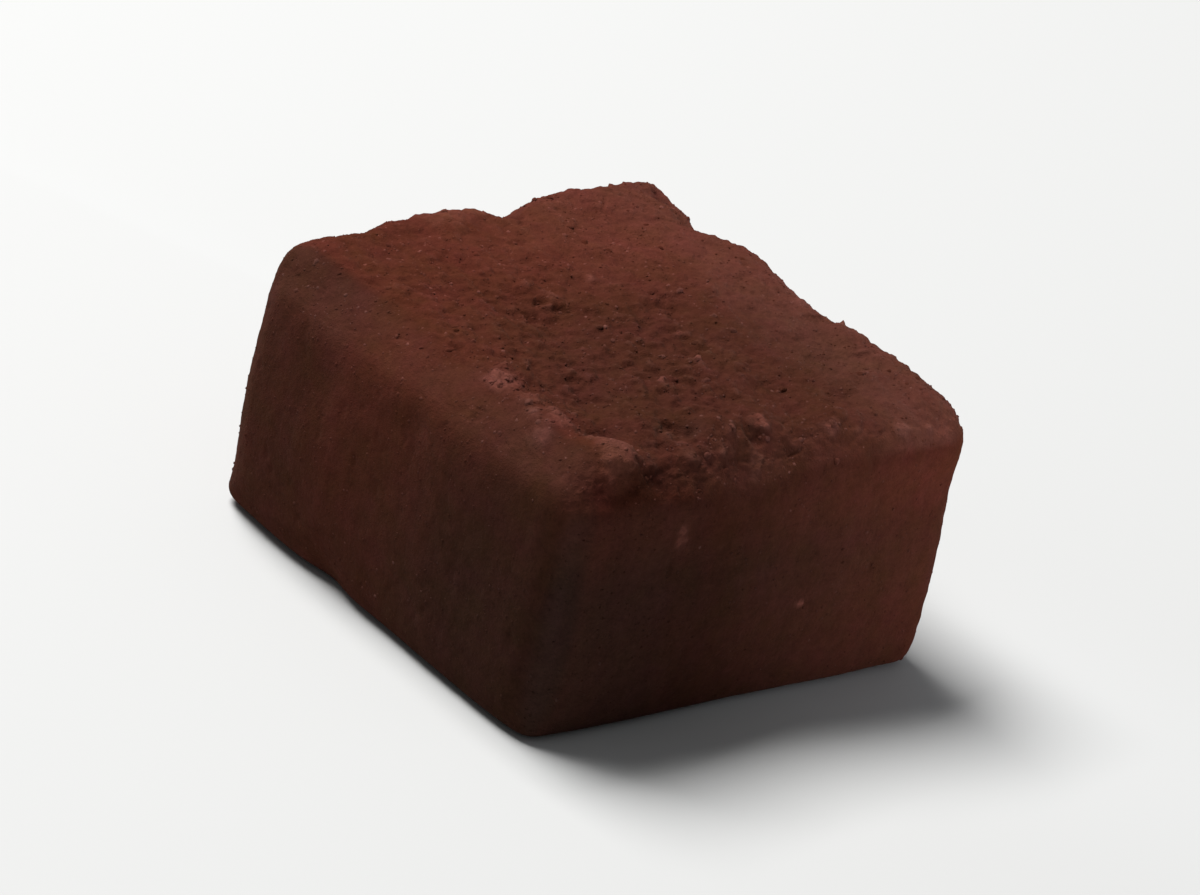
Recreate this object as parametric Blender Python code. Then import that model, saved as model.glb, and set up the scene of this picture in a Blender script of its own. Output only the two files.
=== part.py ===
"""One piece of nama chocolate: a tile of soft ganache, cut by hand and tossed in cocoa powder.

X runs along the longer side, Y along the shorter side, and Z up from the flat base.
"""
import math

import bmesh
import bpy
from mathutils import Vector, noise

MM = 0.001
NAME = "chocolate_piece"

# Size of the cut tile, face to face.
LENGTH = 26.2 * MM
WIDTH = 25.4 * MM
THICKNESS = 14.3 * MM

# Rows of faces along each axis, and how closely they crowd towards the edges.
ROWS = (42, 39, 22)
CROWDING = 1.28

# How quickly a place on the tile is taken over by its nearest edge, and by its own face.
EDGE_HOLD = 6
FACE_HOLD = 9
FACE_SHARE = 0.02

# Worn radius of each top and base edge, by the side that it borders: at its left or front
# end, and at its right or back end.
TOP_RADIUS = {
    "left": (1.8 * MM, 1.0 * MM),
    "right": (2.5 * MM, 2.8 * MM),
    "front": (4.4 * MM, 2.9 * MM),
    "back": (1.0 * MM, 2.0 * MM),
}
BASE_RADIUS = {
    "left": (1.5 * MM, 1.1 * MM),
    "right": (1.1 * MM, 1.2 * MM),
    "front": (1.6 * MM, 1.2 * MM),
    "back": (1.1 * MM, 1.3 * MM),
}

# Radius of each upright edge.
UPRIGHT_RADIUS = {
    ("left", "front"): 3.2 * MM,
    ("right", "front"): 2.2 * MM,
    ("right", "back"): 2.0 * MM,
    ("left", "back"): 1.2 * MM,
}
FACE_RADIUS = 1.4 * MM

# The soft sides swell above the base. The right one has a lip under its back top corner,
# with a waist below it, and both fade towards the front.
RIM_HEIGHT = 0.86
RIM_SWELL = 0.22 * MM
WAIST_HEIGHT = 0.70
WAIST_DEPTH = 0.30 * MM
BAND_WIDTH = 0.09
LIP_START = 1.0 * MM
LIP_END = 10.0 * MM
BELLY_HEIGHT = 0.42
BELLY_SWELL = 0.20 * MM
BELLY_WIDTH = 0.24

# Slow waves and quicker ripples left in every face by the knife.
WAVE_PITCH = 9.0 * MM
WAVE_HEIGHT = 0.30 * MM
WAVE_START = Vector((3.1, 7.7, 1.3))
RIPPLE_PITCH = 3.2 * MM
RIPPLE_HEIGHT = 0.13 * MM
RIPPLE_START = Vector((8.2, 0.4, 5.9))

# Crumbs of clotted cocoa on the top. They thin out over the smooth slope of the front edge,
# and where the surface tilts from CRUMB_FULL_TILT to CRUMB_END_TILT.
CRUMB_PITCH = 1.9 * MM
CRUMB_HEIGHT = 0.42 * MM
CRUMB_LEVEL = 0.42
CRUMB_START = Vector((0.7, 4.1, 2.2))
CRUMB_FADE = 2.2 * MM
CRUMB_END_TILT = 0.25
CRUMB_FULL_TILT = 0.875
FRONT_SLOPE = 2.6 * MM

# Base: everything lower than FLAT_BELOW is pressed flat, and the unevenness of the sides
# grows from nothing there to its full height at BASE_FADE.
FLAT_BELOW = 0.06 * MM
BASE_FADE = 2.06 * MM

# Where two faces of the cut meet, the rows are evened out this often.
EDGE_ZONE = 0.80
EDGE_PASSES = 4

# A bite or clump falls off as a bell this steep, and ends at this many times its reach.
BUMP_FALL = 1.3
BUMP_END = 2.5

# Bites out of the surface, in mm: place, reach, depth and the way each one cuts in.
BITES = (
    ("notch in the left top edge", (-13.1, 1.5, 14.5), 1.15, 1.45, (0.75, 0.0, -0.65)),
    ("slope beside the notch", (-13.1, 3.6, 14.5), 1.5, 0.50, (0.75, 0.0, -0.65)),
    ("dip in the left top edge", (-13.0, -6.4, 14.3), 1.4, 0.20, (0.8, 0.0, -0.6)),
    ("dent in the back top edge", (-7.6, 12.6, 14.4), 1.9, 1.20, (0.0, -0.8, -0.6)),
    ("shallow dip in the back top edge", (1.0, 12.6, 14.4), 2.2, 0.65, (0.0, -0.8, -0.6)),
    ("worn stretch of the right top edge", (13.3, -1.2, 14.5), 3.6, 0.95, (-0.7, 0.0, -0.7)),
    ("cavity behind the right crest", (9.9, -3.9, 14.3), 1.2, 0.80, (-0.2, 0.0, -1.0)),
    ("cavity in the right crest", (11.2, -6.3, 13.9), 1.1, 0.75, (-0.6, 0.0, -0.8)),
    ("cavity beside the front crest", (8.7, -8.5, 14.2), 1.0, 0.60, (0.0, 0.2, -1.0)),
    ("pit in the middle of the top", (-1.6, -2.7, 14.3), 1.5, 0.62, (0.0, 0.0, -1.0)),
    ("pit beside the middle", (-3.0, -3.8, 14.3), 1.1, 0.45, (0.0, 0.0, -1.0)),
    ("pit right of the middle", (0.6, -3.2, 14.3), 1.1, 0.42, (0.0, 0.0, -1.0)),
    ("pit towards the right side", (4.4, -1.9, 14.3), 1.2, 0.40, (0.0, 0.0, -1.0)),
    ("hollow behind the front crest", (5.2, -6.5, 14.3), 2.0, 0.55, (0.0, 0.0, -1.0)),
    ("pit by the left side", (-8.2, -4.6, 14.3), 1.1, 0.35, (0.0, 0.0, -1.0)),
    ("pit behind the front edge", (-5.6, -6.4, 14.3), 1.3, 0.40, (0.0, 0.0, -1.0)),
    ("pit at the back", (7.5, 3.9, 14.3), 1.4, 0.35, (0.0, 0.0, -1.0)),
    ("pit behind the middle", (-0.3, 3.6, 14.3), 1.3, 0.35, (0.0, 0.0, -1.0)),
    ("pit near the right top edge", (9.2, 6.7, 14.3), 1.1, 0.30, (0.0, 0.0, -1.0)),
    ("pit in the front side", (1.0, -12.9, 11.2), 1.0, 0.35, (0.0, 1.0, -0.2)),
    ("chip in the front base edge", (-3.4, -12.9, 0.6), 1.5, 0.70, (0.0, 0.9, 0.4)),
    ("chip in the back base edge", (6.2, 12.9, 0.7), 1.7, 0.75, (0.0, -0.9, 0.4)),
    ("chip in the back upright edge", (-13.1, 12.5, 6.1), 1.5, 0.65, (0.7, -0.7, 0.0)),
    ("pit in the left side", (-13.2, -3.1, 7.8), 1.3, 0.45, (1.0, 0.0, 0.0)),
    ("slot in the left side", (-13.2, 4.6, 4.9), 1.1, 0.40, (1.0, 0.0, 0.0)),
    ("pit in the back side", (3.1, 12.7, 8.4), 1.4, 0.45, (0.0, -1.0, 0.0)),
)

# Clumps that stand proud, in mm: place, reach, height and the way each one grows.
CLUMPS = (
    ("first clump of the front crest", (2.7, -9.0, 14.2), 1.2, 0.62, (0.0, -0.3, 1.0)),
    ("second clump of the front crest", (5.6, -9.5, 14.0), 1.1, 0.60, (0.0, -0.5, 0.9)),
    ("third clump of the front crest", (7.6, -10.0, 13.7), 1.3, 0.75, (0.1, -0.5, 0.9)),
    ("corner clump", (10.4, -9.5, 13.5), 1.5, 0.95, (0.3, -0.3, 0.9)),
    ("first clump of the right crest", (11.3, -7.6, 13.8), 1.0, 0.65, (0.5, 0.0, 0.9)),
    ("second clump of the right crest", (9.2, -5.9, 14.3), 1.2, 0.45, (0.0, 0.0, 1.0)),
    ("third clump of the right crest", (10.4, -2.2, 14.2), 1.5, 0.60, (0.1, 0.0, 1.0)),
    ("fourth clump of the right crest", (10.1, 0.9, 14.2), 1.4, 0.55, (0.1, 0.0, 1.0)),
    ("fifth clump of the right crest", (11.1, 4.2, 14.1), 1.5, 0.42, (0.3, 0.0, 0.9)),
    ("sixth clump of the right crest", (12.2, 8.2, 13.2), 1.2, 0.28, (0.7, 0.1, 0.7)),
    ("lump on the back top edge", (-5.4, 12.5, 13.9), 1.3, 0.35, (0.0, 0.8, 0.6)),
    ("crumb on the back top edge", (2.6, 12.4, 13.9), 0.9, 0.45, (0.0, 0.7, 0.7)),
    ("swell of the back top edge", (7.4, 12.2, 13.6), 3.2, 0.30, (0.0, 0.6, 0.8)),
    ("lump on the left top edge", (-12.9, 6.9, 13.9), 1.2, 0.15, (-0.8, 0.0, 0.6)),
    ("small lump on the left top edge", (-12.9, -4.0, 13.9), 1.0, 0.20, (-0.8, 0.0, 0.6)),
    ("smear of cocoa on the right side", (13.1, 5.4, 9.3), 2.2, 0.14, (1.0, 0.0, 0.0)),
)

COCOA_COLOUR = (0.110, 0.034, 0.021, 1.0)
COCOA_ROUGHNESS = 0.88


def clear_scene():
    for old in list(bpy.data.objects):
        bpy.data.objects.remove(old, do_unlink=True)


def smooth_step(value):
    value = min(max(value, 0.0), 1.0)
    return value * value * (3.0 - 2.0 * value)


def ramp(value, start, end):
    """0 up to start, 1 from end on, and a smooth rise between them."""
    return smooth_step((value - start) / (end - start))


def crowd(t):
    """Spread t, from -1 to 1, so that rows lie closer together near the edges."""
    return math.copysign(1.0 - (1.0 - abs(t)) ** CROWDING, t)


def between(ends, t):
    """Value at t, from -1 to 1, between the values at the two ends."""
    return ends[0] + (ends[1] - ends[0]) * ramp(t, -1.0, 1.0)


def edge_radius(u, v, w):
    """Worn radius for a point of the unit cube, blended from the edges that are near it."""
    side_x = "left" if u < 0 else "right"
    side_y = "front" if v < 0 else "back"
    rim = TOP_RADIUS if w > 0 else BASE_RADIUS
    across = between(rim[side_x], v)
    along = between(rim[side_y], u)
    near_x = abs(u) ** EDGE_HOLD
    near_y = abs(v) ** EDGE_HOLD
    near_z = abs(w) ** EDGE_HOLD
    weighted = (
        (near_x * near_z, across),
        (near_y * near_z, along),
        (near_x * near_y, UPRIGHT_RADIUS[(side_x, side_y)]),
        (FACE_SHARE, FACE_RADIUS),
    )
    total = sum(weight for weight, _ in weighted)
    return sum(weight * radius for weight, radius in weighted) / total


def rounded_place(u, v, w):
    """Point of the rounded tile for a point of the unit cube, base at z = 0."""
    half = Vector((LENGTH / 2, WIDTH / 2, THICKNESS / 2))
    place = Vector((crowd(u) * half.x, crowd(v) * half.y, crowd(w) * half.z))
    radius = edge_radius(u, v, w)
    core = Vector(min(max(place[i], radius - half[i]), half[i] - radius) for i in range(3))
    reach = place - core
    place = core + reach.normalized() * radius
    return place + Vector((0, 0, half.z))


def outward(u, v, w):
    """Rough outward direction: the face's own, turning from one to the next over an edge."""
    return Vector((u ** FACE_HOLD, v ** FACE_HOLD, w ** FACE_HOLD)).normalized()


def band(height, middle, width):
    """1 at a given share of the thickness, fading to 0 above and below it."""
    return math.exp(-((height - middle) / width) ** 2)


def side_sway(place, direction):
    """How far a side stands in or out at this height: its rim, waist and belly."""
    upright = math.hypot(direction.x, direction.y)
    height = place.z / THICKNESS
    belly = BELLY_SWELL * band(height, BELLY_HEIGHT, BELLY_WIDTH)
    rim = RIM_SWELL * band(height, RIM_HEIGHT, BAND_WIDTH)
    waist = WAIST_DEPTH * band(height, WAIST_HEIGHT, BAND_WIDTH)
    lip = ramp(place.y, LIP_START, LIP_END)
    return upright * belly + max(direction.x, 0.0) * lip * (rim - waist)


def waves(place):
    """Slow and quick unevenness that every face has."""
    slow = noise.noise(place / WAVE_PITCH + WAVE_START)
    quick = noise.noise(place / RIPPLE_PITCH + RIPPLE_START)
    return WAVE_HEIGHT * slow + RIPPLE_HEIGHT * quick


def crumbs(place, direction):
    """Clotted cocoa on the top, which thins out towards the smooth front edge."""
    if direction.z <= 0:
        return 0.0
    from_front = place.y + WIDTH / 2
    share = ramp(from_front, FRONT_SLOPE, FRONT_SLOPE + CRUMB_FADE)
    share *= ramp(direction.z, CRUMB_END_TILT, CRUMB_FULL_TILT)
    nearest = noise.voronoi(place / CRUMB_PITCH + CRUMB_START)[0][0]
    return CRUMB_HEIGHT * share * (CRUMB_LEVEL - nearest)


def pushed(place, bumps):
    """Total push of a table of bites or clumps on one place."""
    total = Vector()
    for _, centre, reach, depth, way in bumps:
        gap = (place - Vector(centre) * MM).length / (reach * MM)
        if gap < BUMP_END:
            push = depth * MM * math.exp(-BUMP_FALL * gap ** 2)
            total += Vector(way).normalized() * push
    return total


def shaped(u, v, w):
    place = rounded_place(u, v, w)
    direction = outward(u, v, w)
    lift = side_sway(place, direction) + waves(place) + crumbs(place, direction)
    moved = place + direction * lift + pushed(place, BITES) + pushed(place, CLUMPS)
    above_base = ramp(place.z, FLAT_BELOW, BASE_FADE)
    moved.z = place.z + (moved.z - place.z) * above_base
    if moved.z < FLAT_BELOW:
        moved.z = 0.0
    return moved


def grid_cube():
    """A cube from -1 to 1, cut into rows along each axis."""
    mesh = bmesh.new()
    bmesh.ops.create_cube(mesh, size=2.0)
    for axis, rows in enumerate(ROWS):
        along = [
            edge for edge in mesh.edges
            if abs(edge.verts[0].co[axis] - edge.verts[1].co[axis]) > 1.9
        ]
        bmesh.ops.subdivide_edges(mesh, edges=along, cuts=rows - 1, use_grid_fill=True)
    return mesh


def even_edges(mesh, worn):
    """Take the creases out of the worn edges and corners, and leave the faces as they are."""
    for _ in range(EDGE_PASSES):
        bmesh.ops.smooth_vert(
            mesh, verts=worn, factor=0.5, use_axis_x=True, use_axis_y=True, use_axis_z=True
        )


def set_on_base(mesh):
    """Move the tile so that its box stands centred on the origin, on z = 0."""
    low = Vector(min(vert.co[i] for vert in mesh.verts) for i in range(3))
    high = Vector(max(vert.co[i] for vert in mesh.verts) for i in range(3))
    shift = Vector(((low.x + high.x) / 2, (low.y + high.y) / 2, low.z))
    bmesh.ops.translate(mesh, vec=-shift, verts=mesh.verts)


def cocoa_material():
    material = bpy.data.materials.new("cocoa")
    material.use_nodes = True
    shader = material.node_tree.nodes["Principled BSDF"]
    shader.inputs["Base Color"].default_value = COCOA_COLOUR
    shader.inputs["Roughness"].default_value = COCOA_ROUGHNESS
    shader.inputs["Metallic"].default_value = 0.0
    return material


def chocolate_piece(collection):
    mesh = grid_cube()
    worn = [
        vert for vert in mesh.verts
        if sorted(abs(c) for c in vert.co)[1] > EDGE_ZONE and vert.co.z > -1.0
    ]
    for vert in mesh.verts:
        vert.co = shaped(*vert.co)
    even_edges(mesh, worn)
    set_on_base(mesh)
    bmesh.ops.recalc_face_normals(mesh, faces=mesh.faces)
    data = bpy.data.meshes.new(NAME)
    mesh.to_mesh(data)
    mesh.free()
    data.shade_smooth()
    data.materials.append(cocoa_material())
    piece = bpy.data.objects.new(NAME, data)
    collection.objects.link(piece)
    return piece


clear_scene()
tray = bpy.data.collections.new("nama_chocolate")
bpy.context.scene.collection.children.link(tray)
chocolate_piece(tray)
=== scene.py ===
"""One piece of nama chocolate: a hand-cut tile of soft ganache under a thick coat of cocoa powder."""

import math

import bmesh
import bpy
from mathutils import Matrix, Vector


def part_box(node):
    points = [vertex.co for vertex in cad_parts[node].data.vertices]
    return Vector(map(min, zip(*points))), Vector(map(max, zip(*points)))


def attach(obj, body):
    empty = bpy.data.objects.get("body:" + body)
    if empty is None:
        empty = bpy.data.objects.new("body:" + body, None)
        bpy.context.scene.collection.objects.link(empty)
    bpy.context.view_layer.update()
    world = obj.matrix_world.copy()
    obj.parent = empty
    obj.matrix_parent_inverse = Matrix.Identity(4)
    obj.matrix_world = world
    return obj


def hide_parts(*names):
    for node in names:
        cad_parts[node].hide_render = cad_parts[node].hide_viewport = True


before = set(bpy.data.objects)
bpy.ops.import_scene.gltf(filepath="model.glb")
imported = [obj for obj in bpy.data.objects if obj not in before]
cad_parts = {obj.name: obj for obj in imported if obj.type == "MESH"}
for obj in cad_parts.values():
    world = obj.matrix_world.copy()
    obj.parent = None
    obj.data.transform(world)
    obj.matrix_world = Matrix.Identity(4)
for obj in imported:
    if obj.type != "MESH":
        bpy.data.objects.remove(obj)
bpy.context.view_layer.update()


# ---------------------------------------------------------------------------------------------
# The tile: soft ganache, poured flat, cut by hand and tossed in cocoa powder. The powder clots
# into crumbs and pits on the top, and lies thin and smooth on the cut sides and worn edges. Its
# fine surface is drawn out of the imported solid, evened, and then given its relief.
# ---------------------------------------------------------------------------------------------

MM = 0.001


def socket_of(sockets, key):
    """A socket by its number, or by its name among those that the node's settings leave on."""
    if isinstance(key, int):
        return sockets[key]
    return [socket for socket in sockets if socket.name == key and socket.enabled][0]


def feed(tree, node, key, value):
    """Link a socket to an input, or set the input to a plain value."""
    if isinstance(value, bpy.types.NodeSocket):
        tree.links.new(value, socket_of(node.inputs, key))
    else:
        socket_of(node.inputs, key).default_value = value


def add_node(tree, kind, inputs=None, **settings):
    """A node of this kind with its settings, its inputs set or linked."""
    node = tree.nodes.new(kind)
    for name, value in settings.items():
        setattr(node, name, value)
    for key, value in (inputs or {}).items():
        feed(tree, node, key, value)
    return node


def sums(tree, operation, *values):
    """Result of a Math node."""
    node = add_node(tree, "ShaderNodeMath", dict(enumerate(values)), operation=operation)
    return node.outputs[0]


def times(tree, first, *others):
    """Numbers multiplied together."""
    for other in others:
        first = sums(tree, "MULTIPLY", first, other)
    return first


def largest(tree, first, *others):
    """The largest of some numbers."""
    for other in others:
        first = sums(tree, "MAXIMUM", first, other)
    return first


def plus(tree, base, share, extra):
    """A base plus this share of something extra."""
    return sums(tree, "MULTIPLY_ADD", extra, share, base)


def left_of(tree, share):
    """What a share leaves of the whole."""
    return sums(tree, "SUBTRACT", 1.0, share)


def vectors(tree, operation, *values):
    """Result of a Vector Math node, which is a number for a length, distance or dot product."""
    keys = ("Vector", "Scale") if operation == "SCALE" else (0, 1, 2)
    node = add_node(tree, "ShaderNodeVectorMath", dict(zip(keys, values)), operation=operation)
    return [socket for socket in node.outputs if socket.enabled][0]


def parts_of(tree, vector):
    """The X, Y and Z of a vector."""
    return add_node(tree, "ShaderNodeSeparateXYZ", {0: vector}).outputs[:3]


def vector_of(tree, x, y, z):
    """A vector with this X, Y and Z."""
    return add_node(tree, "ShaderNodeCombineXYZ", {0: x, 1: y, 2: z}).outputs[0]


def step(tree, value, low, high, to_low=0.0, to_high=1.0):
    """A smooth rise from to_low to to_high as value goes from low to high."""
    inputs = {"Value": value, "From Min": low, "From Max": high, "To Min": to_low, "To Max": to_high}
    node = add_node(tree, "ShaderNodeMapRange", inputs, interpolation_type="SMOOTHSTEP")
    return socket_of(node.outputs, "Result")


def by_gap(tree, spot, place, low, high, to_low, to_high):
    """A smooth rise from to_low to to_high as the gap to a place goes from low to high, in mm."""
    return step(tree, vectors(tree, "DISTANCE", spot, place), low, high, to_low, to_high)


def noise_at(tree, place, per_mm, detail=2.0, roughness=0.5, shift=(0.0, 0.0, 0.0)):
    """Smooth noise from about -1 to 1, with so many lumps to the millimetre."""
    inputs = {"Vector": vectors(tree, "ADD", place, shift), "Scale": per_mm}
    inputs.update({"Detail": detail, "Roughness": roughness})
    node = add_node(tree, "ShaderNodeTexNoise", inputs)
    return plus(tree, -1.0, 2.0, node.outputs[0])


def grains_at(tree, place, per_mm, shift):
    """Rounded grains, so many to the millimetre: 1 in the middle of each, below 0 between them."""
    inputs = {"Vector": vectors(tree, "ADD", place, shift), "Scale": per_mm, "Smoothness": 0.35}
    node = add_node(tree, "ShaderNodeTexVoronoi", inputs, feature="SMOOTH_F1")
    return plus(tree, 1.0, -2.2, socket_of(node.outputs, "Distance"))


def blended(tree, share, under, over):
    """Two colours mixed, with a share of the second."""
    node = add_node(tree, "ShaderNodeMix", {"Factor": share, "A": under, "B": over}, data_type="RGBA")
    return socket_of(node.outputs, "Result")


def new_tree(kind, name, inputs, outputs):
    """A node tree with named inputs and outputs, the inputs' sockets, and the output node."""
    tree = bpy.data.node_groups.new(name, kind)
    for in_out, sockets in (("INPUT", inputs), ("OUTPUT", outputs)):
        for label, holds in sockets.items():
            tree.interface.new_socket(label, in_out=in_out, socket_type="NodeSocket" + holds)
    given = tree.nodes.new("NodeGroupInput").outputs
    return tree, given, tree.nodes.new("NodeGroupOutput")


def cocoa_group():
    """Cocoa powder as it looks on every piece: an ordinary and a pale brown laid by the relief and the
    worn edges, a deep brown of painted shade in the pits, and broken up by clots, single grains and faint
    mottling."""
    group, given, result = new_tree("ShaderNodeTree", "Cocoa powder", {
        "Place": "Vector",
        "Relief": "Float",
        "Worn": "Float",
        "Tone": "Float",
        "Thickness": "Float",
        "Deep": "Color",
        "Coat": "Color",
        "Pale": "Color",
    }, {"Colour": "Color", "Height": "Float"})

    place = vectors(group, "SCALE", given["Place"], 1.0 / MM)
    mottle = noise_at(group, place, per_mm=0.45, detail=4.0, roughness=0.6)
    clots = noise_at(group, place, per_mm=1.5, detail=3.0, roughness=0.6, shift=(4.0, 9.0, 1.0))
    grain = noise_at(group, place, per_mm=5.0, detail=4.0, roughness=0.75, shift=(7.0, 2.0, 5.0))

    # Pits get the deep brown as painted shade, and the tops of the crumbs get the pale one.
    height = plus(group, given["Relief"], 0.06, clots)
    painted_pit_shade = step(group, height, low=-0.12, high=-0.60)
    pale_share = step(group, height, low=0.02, high=0.24)
    pale_share = times(group, pale_share, 0.50)
    pale_share = plus(group, pale_share, 0.14, given["Worn"])
    pale_share = plus(group, pale_share, 0.20, mottle)
    pale_share = sums(group, "ADD", pale_share, given["Tone"])
    pale_share = sums(group, "MINIMUM", largest(group, pale_share, 0.0), 1.0)
    colour = blended(group, pale_share, given["Coat"], given["Pale"])
    colour = blended(group, painted_pit_shade, colour, given["Deep"])

    # Clots and single grains are a little lighter or darker than their neighbours.
    light = plus(group, 1.0, 0.36, grain)
    light = plus(group, light, 0.28, clots)
    colour = vectors(group, "SCALE", colour, light)

    # Below one, this darkens and greys the brown: mostly painted shade and a painted grey veil, partly the
    # streaked and smudged coat.
    darkening = given["Thickness"]
    green, blue = (sums(group, "POWER", darkening, power) for power in (0.42, 0.26))
    colour = vectors(group, "MULTIPLY", colour, vector_of(group, darkening, green, blue))

    # The brown drifts between a redder and a more olive shade, least where its tone is pale: on pale lumps
    # and under painted sheen and veil.
    drift = noise_at(group, place, per_mm=0.5, roughness=0.6, shift=(3.0, 3.0, 7.0))
    drift = times(group, drift, left_of(group, given["Tone"]))
    drift = plus(group, drift, 0.15, given["Tone"])
    redder = plus(group, 1.0, 0.20, drift)
    bluer = plus(group, 1.0, 0.30, drift)
    colour = vectors(group, "MULTIPLY", colour, vector_of(group, redder, 1.0, bluer))

    feed(group, result, "Colour", colour)
    feed(group, result, "Height", plus(group, grain, 0.5, clots))
    return group


cocoa_powder = cocoa_group()


def cocoa_finish(name, pit_shade_brown, coat, pale, grain_depth):
    """A finish of dry cocoa powder: matt, with the soft pale bloom of fine dust at its edges."""
    material = bpy.data.materials.new(name)
    material.use_nodes = True
    tree = material.node_tree
    place = add_node(tree, "ShaderNodeTexCoord").outputs["Object"]
    laid = {"Place": place, "Deep": pit_shade_brown, "Coat": coat, "Pale": pale}
    for label in ("relief", "worn", "tone", "thickness"):
        read = add_node(tree, "ShaderNodeAttribute", attribute_name=label)
        laid[label.capitalize()] = read.outputs["Fac"]
    powder = add_node(tree, "ShaderNodeGroup", node_tree=cocoa_powder)
    for label, value in laid.items():
        feed(tree, powder, label, value)
    bump = add_node(tree, "ShaderNodeBump", {
        "Height": powder.outputs["Height"],
        "Distance": grain_depth,
    })
    surface = {
        "Base Color": powder.outputs["Colour"],
        "Normal": bump.outputs["Normal"],
        "Roughness": 0.95,
        "Specular IOR Level": 0.0,
        "Sheen Weight": 0.04,
        "Sheen Roughness": 0.30,
        "Sheen Tint": (0.80, 0.58, 0.48, 1.0),
    }
    for label, value in surface.items():
        feed(tree, tree.nodes["Principled BSDF"], label, value)
    return material


# The first brown is the painted shade of the pits. The others are the coat and its pale lumps.
PAINTED_PIT_SHADE_BROWN = (0.031, 0.0085, 0.0060, 1.0)
COAT_BROWN = (0.067, 0.0184, 0.0110, 1.0)
PALE_BROWN = (0.128, 0.0435, 0.0305, 1.0)
coat = cocoa_finish("cocoa_coat", PAINTED_PIT_SHADE_BROWN, COAT_BROWN, PALE_BROWN, grain_depth=0.05 * MM)

tile_tree, given, result = new_tree("GeometryNodeTree", "Ganache tile", {
    "Solid": "Object",
    "Half size": "Vector",
    "Middle": "Vector",
    "Core depth": "Float",
    "Longest reach": "Float",
    "Points along": "Int",
    "Points across": "Int",
    "Points up": "Int",
    "Row crowding": "Float",
    "Evening passes": "Int",
    "Crumb height": "Float",
    "Grain height": "Float",
    "Clot height": "Float",
    "Grit height": "Float",
    "Pit depth": "Float",
    "Side height": "Float",
    "Finish": "Material",
}, {"Geometry": "Geometry"})
position = add_node(tile_tree, "GeometryNodeInputPosition").outputs[0]
facing = add_node(tile_tree, "GeometryNodeInputNormal").outputs[0]

# A gridded block is drawn out onto the solid, along lines from a smaller core inside it. Its rows
# crowd towards the top, where the relief is finest.
block = add_node(tile_tree, "GeometryNodeMeshCube", {
    "Size": (2.0, 2.0, 2.0),
    "Vertices X": given["Points along"],
    "Vertices Y": given["Points across"],
    "Vertices Z": given["Points up"],
})
along, across, up = parts_of(tile_tree, position)
down = plus(tile_tree, 0.5, -0.5, up)
up = plus(tile_tree, 1.0, -2.0, sums(tile_tree, "POWER", down, given["Row crowding"]))
outer = vectors(tile_tree, "MULTIPLY", vector_of(tile_tree, along, across, up), given["Half size"])
depth = given["Core depth"]
inner = vectors(tile_tree, "SUBTRACT", given["Half size"], vector_of(tile_tree, depth, depth, depth))
core = vectors(tile_tree, "MINIMUM", outer, inner)
core = vectors(tile_tree, "MAXIMUM", core, vectors(tile_tree, "SCALE", inner, -1.0))
solid = add_node(tile_tree, "GeometryNodeObjectInfo", {"Object": given["Solid"]})
hit = add_node(tile_tree, "GeometryNodeRaycast", {
    "Target Geometry": solid.outputs["Geometry"],
    "Source Position": vectors(tile_tree, "ADD", core, given["Middle"]),
    "Ray Direction": vectors(tile_tree, "NORMALIZE", vectors(tile_tree, "SUBTRACT", outer, core)),
    "Ray Length": given["Longest reach"],
})
drawn = add_node(tile_tree, "GeometryNodeSetPosition", {
    "Geometry": block.outputs["Mesh"],
    "Position": hit.outputs["Hit Position"],
})
even = add_node(tile_tree, "GeometryNodeBlurAttribute", {
    "Value": position,
    "Iterations": given["Evening passes"],
}, data_type="FLOAT_VECTOR")
evened = add_node(tile_tree, "GeometryNodeSetPosition", {
    "Geometry": drawn.outputs["Geometry"],
    "Position": socket_of(even.outputs, "Value"),
})

# Where each kind of relief lies: by the way the surface faces, and its height over the base.
spot = vectors(tile_tree, "SCALE", position, 1.0 / MM)
x_at, y_at, height = parts_of(tile_tree, spot)
x_way, y_way, z_way = parts_of(tile_tree, facing)
front_side = step(tile_tree, y_way, low=-0.12, high=-0.50)
right_side = step(tile_tree, x_way, low=0.3, high=0.8)
left_side = step(tile_tree, x_way, low=-0.2, high=-0.7)
back_side = step(tile_tree, y_way, low=0.2, high=0.7)
far_sides = largest(tile_tree, left_side, back_side)
top = times(tile_tree, step(tile_tree, z_way, low=0.40, high=0.85), left_of(tile_tree, front_side))
above_base = step(tile_tree, height, low=0.15, high=1.5)
flattest = largest(tile_tree, *[sums(tile_tree, "ABSOLUTE", part) for part in (x_way, y_way, z_way)])
worn = times(tile_tree, step(tile_tree, flattest, low=0.97, high=0.78), above_base)

# Crumbs stand thickest round the heart of the top, and thin out under the soft clump of cocoa
# near its right end.
HEART = (2.5, -4.5, 14.3)
CLUMP = (11.2, -9.0, 14.3)
patchy = step(tile_tree, noise_at(tile_tree, spot, per_mm=0.20, detail=1.0), -0.4, 0.5, 0.60, 1.0)
near_heart = by_gap(tile_tree, spot, HEART, 13.0, 5.0, 0.45, 1.0)
off_clump = by_gap(tile_tree, spot, CLUMP, 1.5, 5.0, 0.35, 1.0)
crumbly = times(tile_tree, patchy, near_heart, top, off_clump)
pits = noise_at(tile_tree, spot, per_mm=1.7, shift=(1.0, 6.0, 3.0))
layers = {
    "Crumb height": grains_at(tile_tree, spot, per_mm=1.25, shift=(3.0, 1.0, 8.0)),
    "Grain height": grains_at(tile_tree, spot, per_mm=2.3, shift=(6.0, 2.0, 1.0)),
    "Clot height": noise_at(tile_tree, spot, 1.1, detail=3.0, roughness=0.6, shift=(5.0, 5.0, 2.0)),
    "Pit depth": step(tile_tree, pits, low=0.16, high=0.42, to_high=-1.0),
    "Grit height": noise_at(tile_tree, spot, per_mm=3.6, roughness=0.6, shift=(9.0, 1.0, 4.0)),
}
relief = 0.0
for label, layer in layers.items():
    relief = plus(tile_tree, relief, given[label], layer)
relief = times(tile_tree, relief, crumbly)

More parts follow.
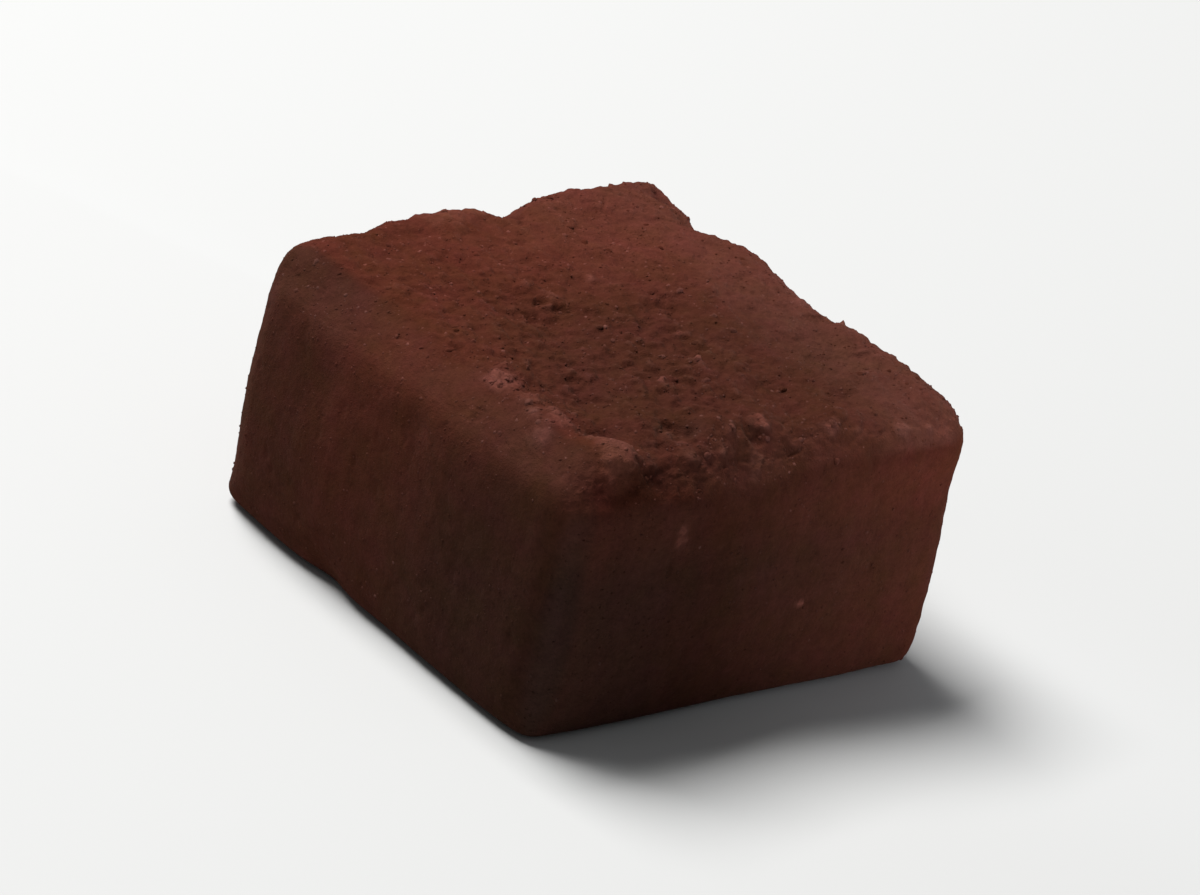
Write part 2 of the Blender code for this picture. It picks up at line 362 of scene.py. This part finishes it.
# The cut sides keep the drag of the knife, a thin, uneven dusting, and a few burst bubbles. The
# far ones are the roughest.
KNIFE_WAY = (1.0, 1.0, 0.16)
drag = noise_at(tile_tree, vectors(tile_tree, "MULTIPLY", spot, KNIFE_WAY), per_mm=0.9)
dusting = noise_at(tile_tree, spot, per_mm=1.3, detail=4.0, roughness=0.65, shift=(2.0, 8.0, 6.0))
bubbles = noise_at(tile_tree, spot, per_mm=0.95, shift=(8.0, 3.0, 5.0))
bubbles = step(tile_tree, bubbles, low=0.26, high=0.50)
side = plus(tile_tree, times(tile_tree, drag, 0.8), 0.8, dusting)
side = plus(tile_tree, side, -1.6, bubbles)
side = times(tile_tree, side, plus(tile_tree, 1.0, 0.9, far_sides), given["Side height"])
relief = times(tile_tree, sums(tile_tree, "ADD", relief, side), above_base)

# Marks that this piece alone has, in mm: place, reach and height, or depth below nought. Noise
# shifts the places they are measured from, which makes their outlines ragged.
ragged = add_node(tile_tree, "ShaderNodeTexNoise", {"Vector": spot, "Scale": 1.5, "Detail": 2.0})
ragged = vectors(tile_tree, "SUBTRACT", ragged.outputs["Color"], (0.5, 0.5, 0.5))
ragged = vectors(tile_tree, "ADD", spot, ragged)
MARKS = (
    # A short furrow left of the middle of the top, with a rim on either side.
    (-2.5, -1.7, 14.0, 0.60, -0.20),
    (-3.3, -2.3, 14.0, 0.50, -0.18),
    (-4.1, -2.9, 14.1, 0.55, -0.18),
    (-3.5, -1.4, 14.1, 0.60, 0.14),
    (-2.3, -2.7, 14.0, 0.55, 0.14),
    # Single pits in the top.
    (0.1, -10.8, 13.8, 0.50, -0.12),
    (-5.7, -7.8, 14.2, 0.50, -0.14),
    (-4.5, -4.7, 14.1, 0.45, -0.14),
    (4.7, -4.3, 14.1, 1.10, -0.14),
    (5.4, -6.3, 13.7, 0.80, -0.14),
    (9.7, -3.3, 13.9, 0.60, -0.30),
    (8.6, -7.6, 13.9, 0.70, -0.24),
    (10.5, -6.5, 13.9, 0.50, -0.22),
    (8.5, -8.3, 13.9, 0.50, -0.24),
    (9.0, -3.9, 13.8, 0.50, -0.14),
    # The notch in the left edge, the rises beside it, and the dent at the end of that edge.
    (-12.2, 2.5, 13.9, 1.50, -0.44),
    (-11.0, 2.3, 14.1, 1.30, -0.28),
    (-12.1, 0.5, 14.0, 1.30, 0.26),
    (-12.1, -1.6, 14.0, 2.40, 0.24),
    (-12.3, 4.5, 14.0, 1.30, 0.10),
    (-10.8, 11.6, 14.0, 1.80, -0.38),
    # A pit beside the right edge, and the worn end of that edge.
    (11.1, 0.0, 13.8, 0.70, -0.24),
    (13.0, -9.6, 13.3, 1.80, -0.30),
    (12.4, -11.3, 13.0, 1.60, -0.24),
    # A dent and three rises in the back edge, and a rise in the left one.
    (-8.7, 11.6, 13.8, 1.10, -0.32),
    (3.6, 12.1, 14.0, 1.60, 0.14),
    (3.0, 11.9, 14.0, 0.35, 0.30),
    (0.8, 11.8, 14.0, 2.00, 0.26),
    (-12.4, 7.0, 14.1, 0.70, 0.12),
    # Two pits in the right side, and one more rise in the back edge.
    (13.1, -5.8, 9.0, 0.50, -0.22),
    (13.1, 1.6, 9.6, 0.45, -0.10),
    (7.0, 11.6, 14.0, 0.60, 0.16),
    # The right edge, worn down along its near half.
    (12.6, -7.0, 13.8, 2.40, -0.48),
    (13.0, -4.4, 13.6, 2.20, -0.40),
    (13.0, -1.4, 13.6, 2.20, -0.36),
    (13.1, 1.4, 13.4, 2.00, -0.24),
)
for x, y, z, reach, rise in MARKS:
    mark = by_gap(tile_tree, ragged, (x, y, z), reach, 0.0, 0.0, rise)
    relief = sums(tile_tree, "ADD", relief, mark)

# Soft lumps where the knife dragged the coat up: place, reach and height in mm, and how pale and
# dry each one is.
LUMPS = (
    # The palest lump of the front crest, and a smaller one on either side.
    (3.3, -9.8, 14.3, 1.00, 0.20, 1.20),
    (2.4, -9.2, 14.3, 0.50, 0.10, 0.29),
    (4.4, -9.9, 14.3, 0.65, 0.10, 0.24),
    # The rest of the front crest.
    (5.5, -9.7, 14.6, 0.85, 0.13, 0.38),
    (6.6, -10.3, 14.3, 0.75, 0.13, 0.30),
    (7.6, -9.7, 14.6, 1.05, 0.12, 0.62),
    (8.1, -11.0, 14.0, 0.95, 0.13, 0.32),
    (9.9, -9.3, 14.4, 0.70, 0.12, 0.35),
    # The clump at the corner where the front and right crests meet.
    (11.1, -9.0, 14.5, 1.30, 0.34, 0.30),
    (11.8, -8.3, 14.2, 1.00, 0.16, 0.25),
    (12.0, -9.6, 13.9, 1.10, 0.16, 0.45),
    (11.8, -10.4, 13.4, 0.80, 0.12, 0.25),
    (11.8, -7.4, 13.9, 0.75, 0.09, 0.12),
    (11.5, -6.7, 13.9, 0.60, 0.07, 0.10),
    # Crumbs behind the clump, and two that hang over the right side.
    (10.3, -4.5, 14.1, 0.60, 0.18, 0.70),
    (9.5, -4.1, 14.0, 0.50, 0.15, 0.45),
    (10.5, -6.2, 14.1, 0.45, 0.10, 0.25),
    (11.6, -0.3, 13.0, 0.45, 0.08, 0.40),
    (12.2, -0.7, 12.5, 0.40, 0.06, 0.35),
    # The right crest.
    (11.4, -4.5, 13.9, 0.65, 0.18, 0.33),
    (11.6, -2.3, 14.0, 0.75, 0.18, 0.33),
    (10.6, -1.5, 14.3, 0.55, 0.13, 0.29),
    (11.7, -0.5, 13.9, 0.60, 0.14, 0.29),
    (10.4, 0.5, 14.4, 0.65, 0.18, 0.57),
    (11.9, 1.9, 13.7, 0.55, 0.11, 0.29),
    (11.6, 4.0, 14.0, 0.65, 0.13, 0.43),
    (12.1, 5.5, 13.7, 0.50, 0.10, 0.29),
    (12.4, 8.1, 13.6, 0.60, 0.13, 0.48),
    (12.5, 9.6, 13.4, 0.45, 0.10, 0.38),
    # Single crumbs on the top.
    (-4.5, 1.8, 14.2, 0.38, 0.13, 0.52),
    (1.8, 2.4, 14.3, 0.34, 0.13, 0.57),
    (4.6, 1.4, 14.3, 0.32, 0.11, 0.57),
    (5.5, -1.8, 14.2, 0.40, 0.13, 0.57),
    (-2.9, -2.1, 14.0, 0.40, 0.13, 0.29),
    # Pale specks on the right side.
    (13.1, -5.5, 10.8, 0.42, 0.06, 1.00),
    (13.1, -5.5, 10.2, 0.45, 0.06, 1.00),
    (13.2, 3.1, 5.5, 0.30, 0.05, 0.80),
)
lumps = 0.0
for x, y, z, reach, rise, paleness in LUMPS:
    bulge = by_gap(tile_tree, ragged, (x, y, z), 1.15 * reach, 0.25 * reach, 0.0, 1.0)
    relief = plus(tile_tree, relief, rise, bulge)
    lumps = largest(tile_tree, lumps, times(tile_tree, bulge, paleness))
speckle = noise_at(tile_tree, spot, per_mm=2.6, detail=3.0, roughness=0.65, shift=(4.0, 2.0, 2.0))
relief = plus(tile_tree, relief, 0.12, times(tile_tree, speckle, lumps))
lumps = times(tile_tree, lumps, plus(tile_tree, 0.85, 0.75, speckle))
lumps = largest(tile_tree, lumps, 0.0)

# Painted shade darkens the foot of the near corner and the middle of the top, and the left part of the top
# is a little lighter.
NEAR_FOOT = (13.0, -12.0, 1.0)
FOOT_SPREAD = (1.0, 0.7, 1.5)
SHADED_MIDDLE = (6.0, 0.5, 14.3)
LEFT_TOP = (-9.0, 4.0, 14.3)
from_foot = vectors(tile_tree, "SUBTRACT", spot, NEAR_FOOT)
from_foot = vectors(tile_tree, "LENGTH", vectors(tile_tree, "MULTIPLY", from_foot, FOOT_SPREAD))
thickness = step(tile_tree, from_foot, 5.0, 25.0, 0.60, 1.04)
thickness = times(tile_tree, thickness, by_gap(tile_tree, spot, SHADED_MIDDLE, 4.5, 15.0, 0.80, 1.06))
thickness = times(tile_tree, thickness, by_gap(tile_tree, spot, LEFT_TOP, 3.0, 12.0, 1.08, 1.0))

# Painted light and shade on the right side: lighter below its top edge and by its foot than between them.
# The front side is painted a tenth darker, as shade.
upper_band = step(tile_tree, height, 8.0, 11.0, 0.91, 1.10)
lower_band = step(tile_tree, height, 4.0, 8.0, 1.12, 1.0)
painted_side_light = sums(tile_tree, "SUBTRACT", times(tile_tree, upper_band, lower_band), 1.0)
painted_side_light = sums(tile_tree, "ADD", times(tile_tree, painted_side_light, right_side), 1.0)
thickness = times(tile_tree, thickness, painted_side_light, plus(tile_tree, 1.0, -0.10, front_side))

# Painted shade darkens the front side low by the near corner, and towards its left end.
LOW_FRONT = (10.0, -12.6, 7.5)
painted_front_shade = by_gap(tile_tree, spot, LOW_FRONT, 11.0, 3.0, 0.0, 0.18)
painted_front_shade = largest(tile_tree, painted_front_shade, step(tile_tree, x_at, -2.5, -8.0, 0.0, 0.24))
thickness = times(tile_tree, thickness, left_of(tile_tree, times(tile_tree, painted_front_shade, front_side)))

# The knife left faint streaks down the sides, and handling left darker smudges on the far ones.
streaks = plus(tile_tree, 1.0, 0.10, times(tile_tree, drag, left_of(tile_tree, top)))
smudges = noise_at(tile_tree, spot, per_mm=0.16, detail=3.0, roughness=0.6, shift=(2.0, 2.0, 7.0))
smudges = times(tile_tree, step(tile_tree, smudges, low=0.0, high=0.45), far_sides)
smudges = plus(tile_tree, 1.0, -0.20, smudges)
thickness = times(tile_tree, thickness, streaks, smudges)
thickness = largest(tile_tree, thickness, step(tile_tree, lumps, 0.0, 0.5, 0.5, 1.02))

# A painted grey veil of reflected light greys the near end of the right side, and painted sheen pales the
# back of the top.
BACK_CORNER = (-10.5, 7.5, 14.2)
near_end = times(tile_tree, right_side, step(tile_tree, y_at, low=-2.0, high=-8.0))
near_end = times(tile_tree, near_end, step(tile_tree, z_way, low=0.40, high=0.05))
painted_veil_and_sheen = by_gap(tile_tree, spot, BACK_CORNER, 12.0, 2.0, 0.0, 0.25)
painted_veil_and_sheen = largest(tile_tree, painted_veil_and_sheen, step(tile_tree, y_at, 4.5, 9.5, 0.0, 0.38))
painted_veil_and_sheen = times(tile_tree, painted_veil_and_sheen, step(tile_tree, z_way, low=0.30, high=0.60))
painted_veil_and_sheen = plus(tile_tree, painted_veil_and_sheen, 0.34, near_end)
thickness = times(tile_tree, thickness, plus(tile_tree, 1.0, -0.30, painted_veil_and_sheen))
tone = sums(tile_tree, "ADD", lumps, painted_veil_and_sheen)


def kept_on(tree, geometry, values):
    """The geometry with these numbers kept on its points, by name."""
    for label, value in values.items():
        inputs = {"Geometry": geometry, "Name": label, "Value": value}
        kept = add_node(tree, "GeometryNodeStoreNamedAttribute", inputs, data_type="FLOAT", domain="POINT")
        geometry = kept.outputs["Geometry"]
    return geometry


def recalled(tree, label):
    """A number that was kept on the points under this name."""
    node = add_node(tree, "GeometryNodeInputNamedAttribute", {"Name": label}, data_type="FLOAT")
    return socket_of(node.outputs, "Attribute")


def finish_tree(tree, result, geometry, finish):
    """End a tree with smooth shading, all its copies made real, and a material."""
    smooth = add_node(tree, "GeometryNodeSetShadeSmooth", {"Geometry": geometry})
    single = add_node(tree, "GeometryNodeRealizeInstances", {"Geometry": smooth.outputs["Geometry"]})
    coated = add_node(tree, "GeometryNodeSetMaterial", {
        "Geometry": single.outputs["Geometry"],
        "Material": finish,
    })
    feed(tree, result, "Geometry", coated.outputs["Geometry"])


# The points keep the relief, the worn edges, the pale lumps, the tone with its painted sheen and veil, and
# the painted shade with the coat's streaks and smudges.
laid = kept_on(tile_tree, evened.outputs["Geometry"], {
    "relief": relief,
    "worn": worn,
    "lumps": lumps,
    "tone": tone,
    "thickness": thickness,
})
raised = add_node(tile_tree, "GeometryNodeSetPosition", {
    "Geometry": laid,
    "Offset": vectors(tile_tree, "SCALE", facing, times(tile_tree, recalled(tile_tree, "relief"), MM)),
})
finish_tree(tile_tree, result, raised.outputs["Geometry"], given["Finish"])


def made_by(tree, name, values):
    """The plain mesh object that a tree makes with these values, at the origin."""
    piece = bpy.data.objects.new(name, bpy.data.meshes.new(name))
    bpy.context.scene.collection.objects.link(piece)
    modifier = piece.modifiers.new(name, "NODES")
    modifier.node_group = tree
    for item in tree.interface.items_tree:
        if item.in_out == "INPUT":
            modifier[item.identifier] = values[item.name]
    view = bpy.context.evaluated_depsgraph_get()
    grown = piece.evaluated_get(view)
    mesh = bpy.data.meshes.new_from_object(grown, preserve_all_data_layers=True, depsgraph=view)
    piece.modifiers.remove(modifier)
    piece.data = mesh
    mesh.name = name
    return piece


low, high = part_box("chocolate_piece")
tile = made_by(tile_tree, "chocolate_tile", {
    "Solid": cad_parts["chocolate_piece"],
    "Half size": (high - low) / 2,
    "Middle": (high + low) / 2,
    "Core depth": 3.0 * MM,
    "Longest reach": 20.0 * MM,
    "Points along": 200,
    "Points across": 194,
    "Points up": 58,
    "Row crowding": 1.5,
    "Evening passes": 12,
    "Crumb height": 0.18,
    "Grain height": 0.17,
    "Clot height": 0.30,
    "Grit height": 0.05,
    "Pit depth": 0.09,
    "Side height": 0.06,
    "Finish": coat,
})


def thin_base(piece, block_size):
    """Leave out most of the rows under the flat base, where nothing shows."""
    on_base = 1e-7
    mesh = bmesh.new()
    mesh.from_mesh(piece.data)
    blocks = {}
    for face in mesh.faces:
        if max(vert.co.z for vert in face.verts) < on_base:
            middle = face.calc_center_median() / block_size
            blocks.setdefault((math.floor(middle.x), math.floor(middle.y)), []).append(face)
    for faces in blocks.values():
        bmesh.ops.dissolve_faces(mesh, faces=faces)
    spare = [vert for vert in mesh.verts if vert.co.z < on_base and len(vert.link_edges) == 2]
    bmesh.ops.dissolve_verts(mesh, verts=spare)
    bmesh.ops.triangulate(mesh, faces=mesh.faces)
    mesh.to_mesh(piece.data)
    mesh.free()


thin_base(tile, block_size=3.0 * MM)
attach(tile, "root")
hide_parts("chocolate_piece")


# ---------------------------------------------------------------------------------------------
# Loose cocoa on the tile: clotted lumps along its crests, single grains over the crumbly top,
# and fine dust on the cut sides. All of it is pressed a little into the coat and stays with it.
# ---------------------------------------------------------------------------------------------

scatter_tree, given, result = new_tree("GeometryNodeTree", "Scattered cocoa", {
    "Ground": "Object",
    "Per square mm": "Float",
    "Top share": "Float",
    "Side share": "Float",
    "Crest share": "Float",
    "Smallest": "Float",
    "Largest": "Float",
    "Sunk": "Float",
    "Lump detail": "Int",
    "Palest": "Float",
    "Seed": "Int",
    "Finish": "Material",
}, {"Geometry": "Geometry"})

# How many lie where: by the way the surface faces, and by how near a crest or a pale lump is.
# The gap to a crest is squeezed along it, which makes its band long and narrow.
CRESTS = {
    "front": {"squeeze": (0.55, 1.0, 1.0), "middle": (3.8, -9.3, 14.2), "reach": 2.2},
    "right": {"squeeze": (1.0, 0.40, 1.0), "middle": (11.2, -0.9, 14.0), "reach": 2.4},
}
position = add_node(scatter_tree, "GeometryNodeInputPosition").outputs[0]
facing = add_node(scatter_tree, "GeometryNodeInputNormal").outputs[0]
spot = vectors(scatter_tree, "SCALE", position, 1.0 / MM)
height = parts_of(scatter_tree, spot)[2]
z_way = parts_of(scatter_tree, facing)[2]
top = step(scatter_tree, z_way, low=0.35, high=0.80)
above_base = step(scatter_tree, height, low=0.25, high=0.60)
patchy = noise_at(scatter_tree, spot, per_mm=0.35, shift=(2.0, 5.0, 9.0))
patchy = step(scatter_tree, patchy, -0.35, 0.35, 0.25, 1.0)
crest = 0.0
for band in CRESTS.values():
    squeezed = vectors(scatter_tree, "MULTIPLY", spot, band["squeeze"])
    on_band = by_gap(scatter_tree, squeezed, band["middle"], band["reach"], 0.6, 0.0, 1.0)
    crest = largest(scatter_tree, crest, on_band)
pale_lumps = recalled(scatter_tree, "lumps")
crest = times(scatter_tree, crest, 0.5)
crest = largest(scatter_tree, crest, times(scatter_tree, pale_lumps, 1.5))
crest = times(scatter_tree, crest, step(scatter_tree, z_way, low=0.40, high=0.80))
many = times(scatter_tree, left_of(scatter_tree, top), given["Side share"])
many = plus(scatter_tree, many, given["Top share"], top)
many = times(scatter_tree, many, patchy)
many = plus(scatter_tree, many, given["Crest share"], crest)
many = times(scatter_tree, many, above_base)
per_m2 = times(scatter_tree, given["Per square mm"], 1.0 / MM ** 2)
ground = add_node(scatter_tree, "GeometryNodeObjectInfo", {"Object": given["Ground"]})
strewn = add_node(scatter_tree, "GeometryNodeDistributePointsOnFaces", {
    "Mesh": ground.outputs["Geometry"],
    "Density": times(scatter_tree, many, per_m2),
    "Seed": given["Seed"],
}, distribute_method="RANDOM")


def chance(tree, seed, low=0.0, high=1.0, kind="FLOAT"):
    """An even random number or vector for each point."""
    inputs = {"Min": low, "Max": high, "Seed": seed}
    node = add_node(tree, "FunctionNodeRandomValue", inputs, data_type=kind)
    return socket_of(node.outputs, "Value")


# Most are small and a few are large, and few are pale but for those on the pale lumps.
small = sums(scatter_tree, "POWER", chance(scatter_tree, seed=11), 3.0)
spread = sums(scatter_tree, "SUBTRACT", given["Largest"], given["Smallest"])
pale = sums(scatter_tree, "POWER", chance(scatter_tree, seed=12), 2.0)
pale = times(scatter_tree, pale, given["Palest"])
cloud = kept_on(scatter_tree, strewn.outputs["Points"], {
    "radius_of": plus(scatter_tree, given["Smallest"], spread, small),
    "tone": largest(scatter_tree, pale, times(scatter_tree, pale_lumps, 0.8)),
    "relief": largest(scatter_tree, recalled(scatter_tree, "relief"), 0.0),
})
radius = recalled(scatter_tree, "radius_of")
down = times(scatter_tree, radius, times(scatter_tree, given["Sunk"], -1.0))
sunk = add_node(scatter_tree, "GeometryNodeSetPosition", {
    "Geometry": cloud,
    "Offset": vectors(scatter_tree, "SCALE", strewn.outputs["Normal"], down),
})

# Each is a ball, turned and squashed by chance, and then broken up by noise.
UPRIGHT, FULL_TURNS = (0.0, 0.0, 0.0), (6.28, 6.28, 6.28)
FLATTEST, FULLEST = (0.75, 0.75, 0.6), (1.3, 1.3, 1.1)
ball = add_node(scatter_tree, "GeometryNodeMeshIcoSphere", {
    "Radius": 1.0,
    "Subdivisions": given["Lump detail"],
})
squash = chance(scatter_tree, 14, FLATTEST, FULLEST, kind="FLOAT_VECTOR")
lying = add_node(scatter_tree, "GeometryNodeInstanceOnPoints", {
    "Points": sunk.outputs["Geometry"],
    "Instance": ball.outputs["Mesh"],
    "Rotation": chance(scatter_tree, 13, UPRIGHT, FULL_TURNS, kind="FLOAT_VECTOR"),
    "Scale": vectors(scatter_tree, "SCALE", squash, radius),
})
single = add_node(scatter_tree, "GeometryNodeRealizeInstances", {"Geometry": lying.outputs["Instances"]})
rough = add_node(scatter_tree, "ShaderNodeTexNoise", {"Scale": 3.5 / MM, "Detail": 3.0, "Roughness": 0.7})
push = vectors(scatter_tree, "SUBTRACT", rough.outputs["Color"], (0.5, 0.5, 0.5))
broken = add_node(scatter_tree, "GeometryNodeSetPosition", {
    "Geometry": single.outputs["Geometry"],
    "Offset": vectors(scatter_tree, "SCALE", push, times(scatter_tree, radius, 1.1)),
})
finish_tree(scatter_tree, result, broken.outputs["Geometry"], given["Finish"])

LOOSE_PALE_BROWN = (0.134, 0.0480, 0.0350, 1.0)
loose = cocoa_finish("loose_cocoa", PAINTED_PIT_SHADE_BROWN, COAT_BROWN, LOOSE_PALE_BROWN, grain_depth=0.03 * MM)
KINDS = {
    "crest_lumps": {
        "Per square mm": 3.6, "Top share": 0.14, "Side share": 0.0, "Crest share": 1.0,
        "Smallest": 0.08 * MM, "Largest": 0.26 * MM, "Sunk": 0.60, "Lump detail": 3,
        "Palest": 0.55, "Seed": 3,
    },
    "top_grains": {
        "Per square mm": 9.0, "Top share": 1.0, "Side share": 0.05, "Crest share": 0.5,
        "Smallest": 0.05 * MM, "Largest": 0.16 * MM, "Sunk": 0.62, "Lump detail": 1,
        "Palest": 1.0, "Seed": 5,
    },
    "side_dust": {
        "Per square mm": 5.0, "Top share": 0.5, "Side share": 1.0, "Crest share": 0.0,
        "Smallest": 0.04 * MM, "Largest": 0.10 * MM, "Sunk": 0.35, "Lump detail": 1,
        "Palest": 0.40, "Seed": 8,
    },
}
for name, values in KINDS.items():
    kind = made_by(scatter_tree, name, {**values, "Ground": tile, "Finish": loose})
    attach(kind, "root")


# ---------------------------------------------------------------------------------------------
# The studio: a plain pale floor under a faint even light, a large soft lamp high on the left, a
# narrow low one on the right, and a camera that looks down on the near corner of the tile.
# ---------------------------------------------------------------------------------------------

FLOOR_SIZE = 6.0
FLOOR_COLOUR = (0.56, 0.56, 0.552, 1.0)
EVEN_LIGHT_COLOUR = (0.97, 1.0, 1.03, 1.0)
EVEN_LIGHT_STRENGTH = 0.17

bpy.ops.mesh.primitive_plane_add(size=FLOOR_SIZE, location=(0.0, 0.0, 0.0))
floor = bpy.context.object
floor.name = "floor"
floor_finish = bpy.data.materials.new("pale_floor")
floor_finish.use_nodes = True
floor_shader = floor_finish.node_tree.nodes["Principled BSDF"]
floor_shader.inputs["Base Color"].default_value = FLOOR_COLOUR
floor_shader.inputs["Roughness"].default_value = 0.9
floor.data.materials.append(floor_finish)

world = bpy.data.worlds.new("studio")
world.use_nodes = True
even_light = world.node_tree.nodes["Background"]
even_light.inputs["Color"].default_value = EVEN_LIGHT_COLOUR
even_light.inputs["Strength"].default_value = EVEN_LIGHT_STRENGTH
bpy.context.scene.world = world


def bearing(azimuth, elevation):
    """The way from the tile to something at this azimuth and elevation, in degrees."""
    turn, rise = math.radians(azimuth), math.radians(elevation)
    flat = math.cos(rise)
    return Vector((math.sin(turn) * flat, -math.cos(turn) * flat, math.sin(rise)))


def hang_lamp(data, aim, azimuth, elevation, distance):
    """A lamp that faces a point on the tile from this side and distance."""
    lamp = bpy.data.objects.new(data.name, data)
    bpy.context.scene.collection.objects.link(lamp)
    away = bearing(azimuth, elevation)
    lamp.location = aim + away * distance
    lamp.rotation_euler = away.to_track_quat("Z", "Y").to_euler()
    return lamp


key_data = bpy.data.lights.new("key", "AREA")
key_data.size = 0.35
key_data.energy = 8.4
KEY_AIM = Vector((0.0, 0.0, 0.0))
hang_lamp(key_data, KEY_AIM, azimuth=-74.0, elevation=61.0, distance=0.7)

side_data = bpy.data.lights.new("side", "SPOT")
side_data.energy = 6.4
side_data.color = (0.90, 1.0, 1.12)
side_data.spot_size = math.radians(4.6)
side_data.spot_blend = 1.0
side_data.shadow_soft_size = 0.004
SIDE_AIM = Vector((13.0, 13.0, 11.0)) * MM
side_lamp = hang_lamp(side_data, SIDE_AIM, azimuth=115.0, elevation=2.5, distance=0.45)
side_lamp.visible_camera = False

AIM = Vector((0.31, 0.40, 7.51)) * MM
VIEW_AZIMUTH, VIEW_ELEVATION = 45.77, 26.32
VIEW_ROLL = 12.99
VIEW_DISTANCE = 471.1 * MM
LENS, SENSOR_WIDTH = 291.4, 36.0
NEAREST_SEEN, FARTHEST_SEEN = 0.01, 20.0

camera = bpy.data.objects.new("camera", bpy.data.cameras.new("camera"))
bpy.context.scene.collection.objects.link(camera)
away = bearing(VIEW_AZIMUTH, VIEW_ELEVATION)
turned = away.to_track_quat("Z", "Y").to_matrix().to_4x4()
roll = Matrix.Rotation(math.radians(VIEW_ROLL), 4, "Z")
camera.matrix_world = Matrix.Translation(AIM + away * VIEW_DISTANCE) @ turned @ roll
camera.data.lens = LENS
camera.data.sensor_width = SENSOR_WIDTH
camera.data.clip_start = NEAREST_SEEN
camera.data.clip_end = FARTHEST_SEEN
bpy.context.scene.camera = camera
bpy.context.scene.view_settings.view_transform = "Standard"
